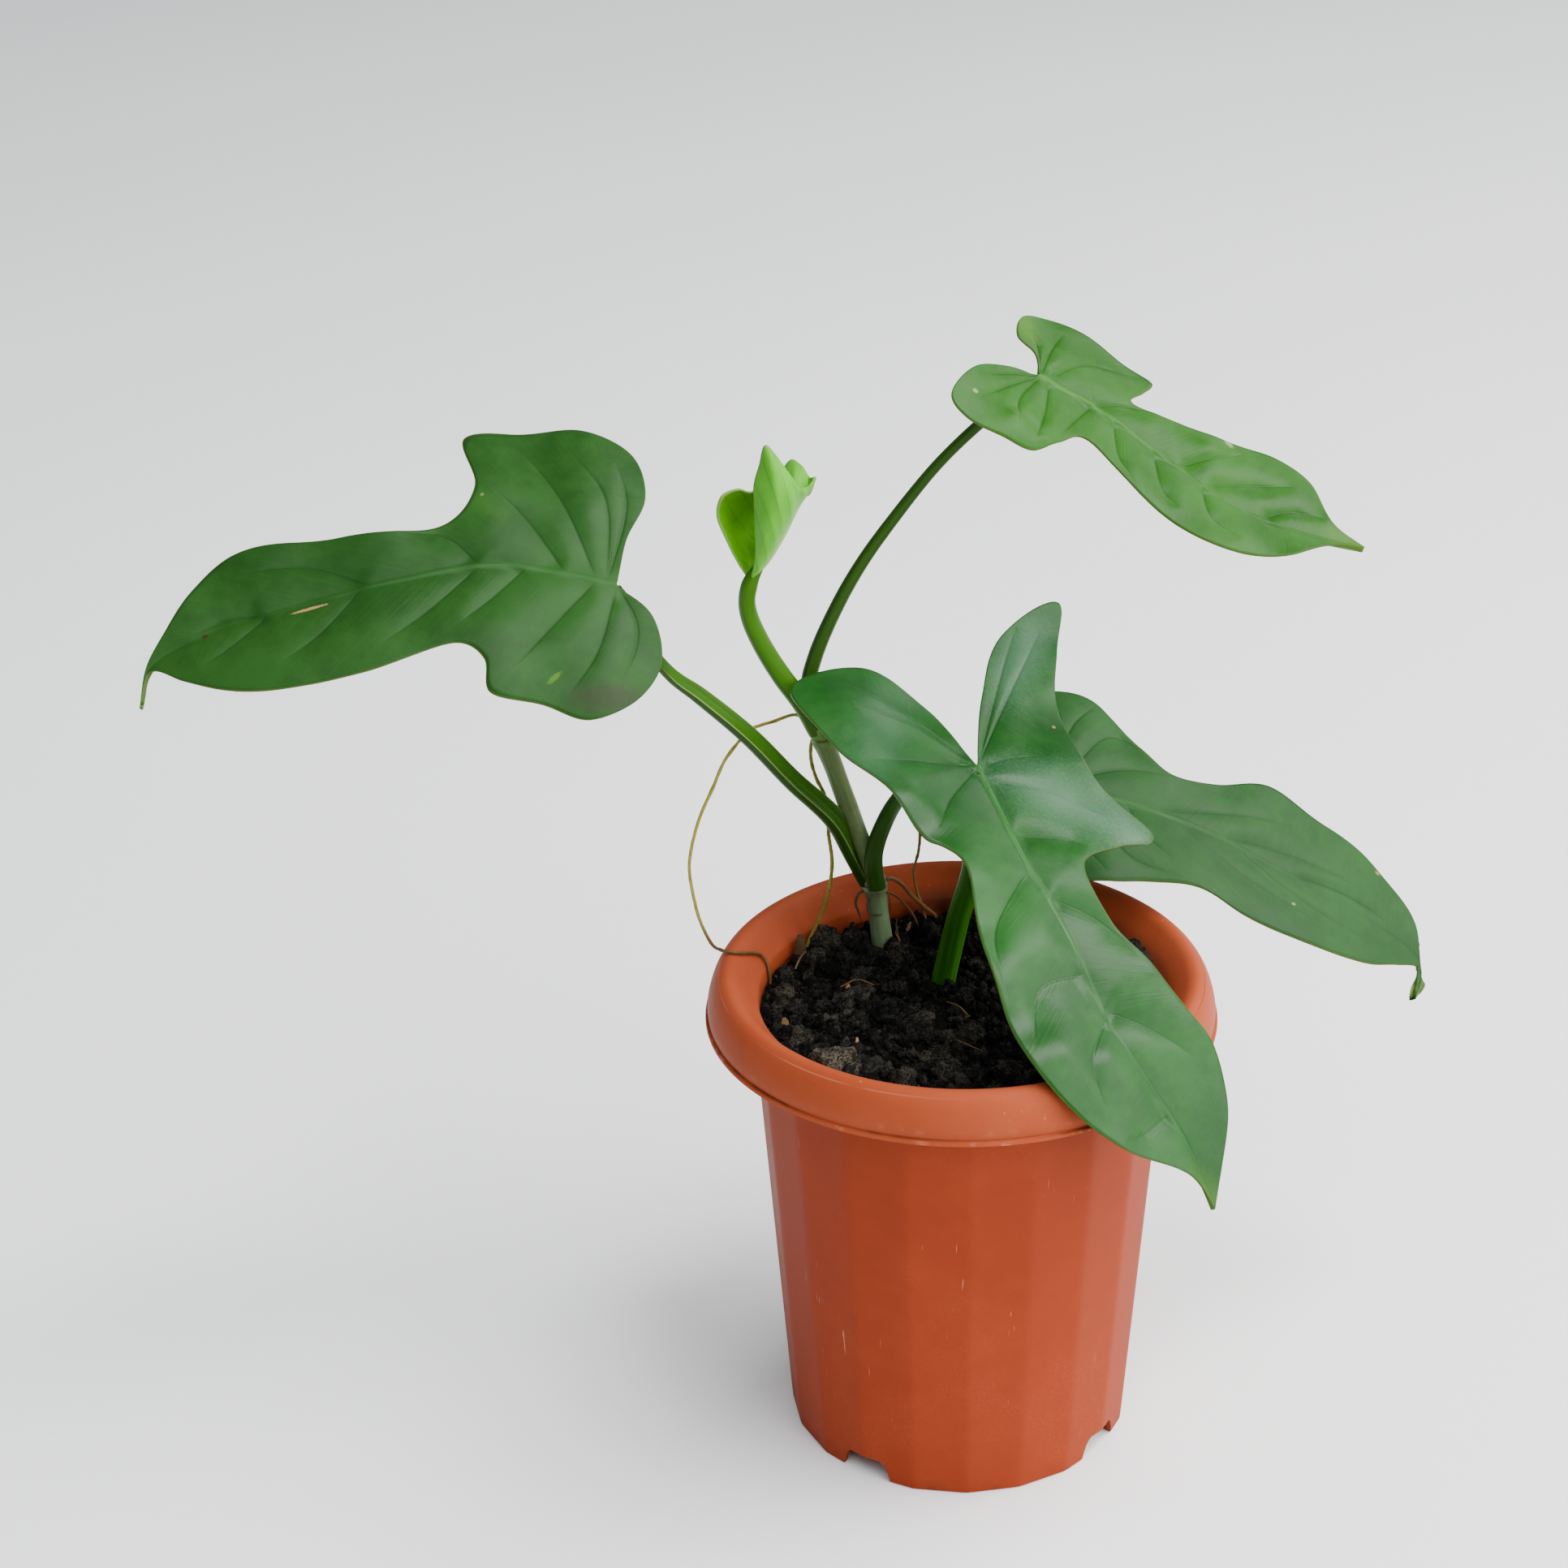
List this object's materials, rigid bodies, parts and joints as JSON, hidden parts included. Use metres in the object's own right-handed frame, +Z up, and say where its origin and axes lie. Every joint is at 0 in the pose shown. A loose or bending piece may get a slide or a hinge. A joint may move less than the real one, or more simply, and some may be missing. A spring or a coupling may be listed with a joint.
{
  "type": "potted horsehead philodendron",
  "caption": "Potted horsehead philodendron: fiddle-shaped glossy leaves on slender stalks, a half-furled young leaf and thin aerial roots, in dark soil in a flat-panelled plastic pot.",
  "frame": {"origin": "on the floor under the middle of the whole plant's outer box, at the height of the pot's foot", "axes": "+X along the widest spread of the leaves, to the viewer's right in the picture; +Y away from the viewer; +Z up"},
  "size_m": [0.4454, 0.2106, 0.397],
  "materials": {
    "pot": "satin terracotta-red moulded plastic with light scuffs",
    "soil": "loose crumbly black potting mix, stands in for soil",
    "stem": "waxy grey-green bark with pale flecks",
    "stalk": "smooth satin green",
    "young_stalk": "smooth satin yellow-green",
    "leaf": "glossy leathery green with sunken veins",
    "young_leaf": "soft satin light green",
    "root": "dry yellow-olive to brown root skin"
  },
  "bodies": {
    "root": {"pot": "pot", "soil": "soil", "stem": "stem", "stalk_left": "stalk", "stalk_right": "stalk", "stalk_front": "stalk", "stalk_top": "stalk", "stalk_young": "young_stalk", "leaf_left": "leaf", "leaf_right": "leaf", "leaf_front": "leaf", "leaf_top": "leaf", "leaf_young": "young_leaf", "root_over_rim": "root", "root_left": "root", "root_right": "root", "root_low": "root", "root_lower": "root"}
  },
  "joints": []
}
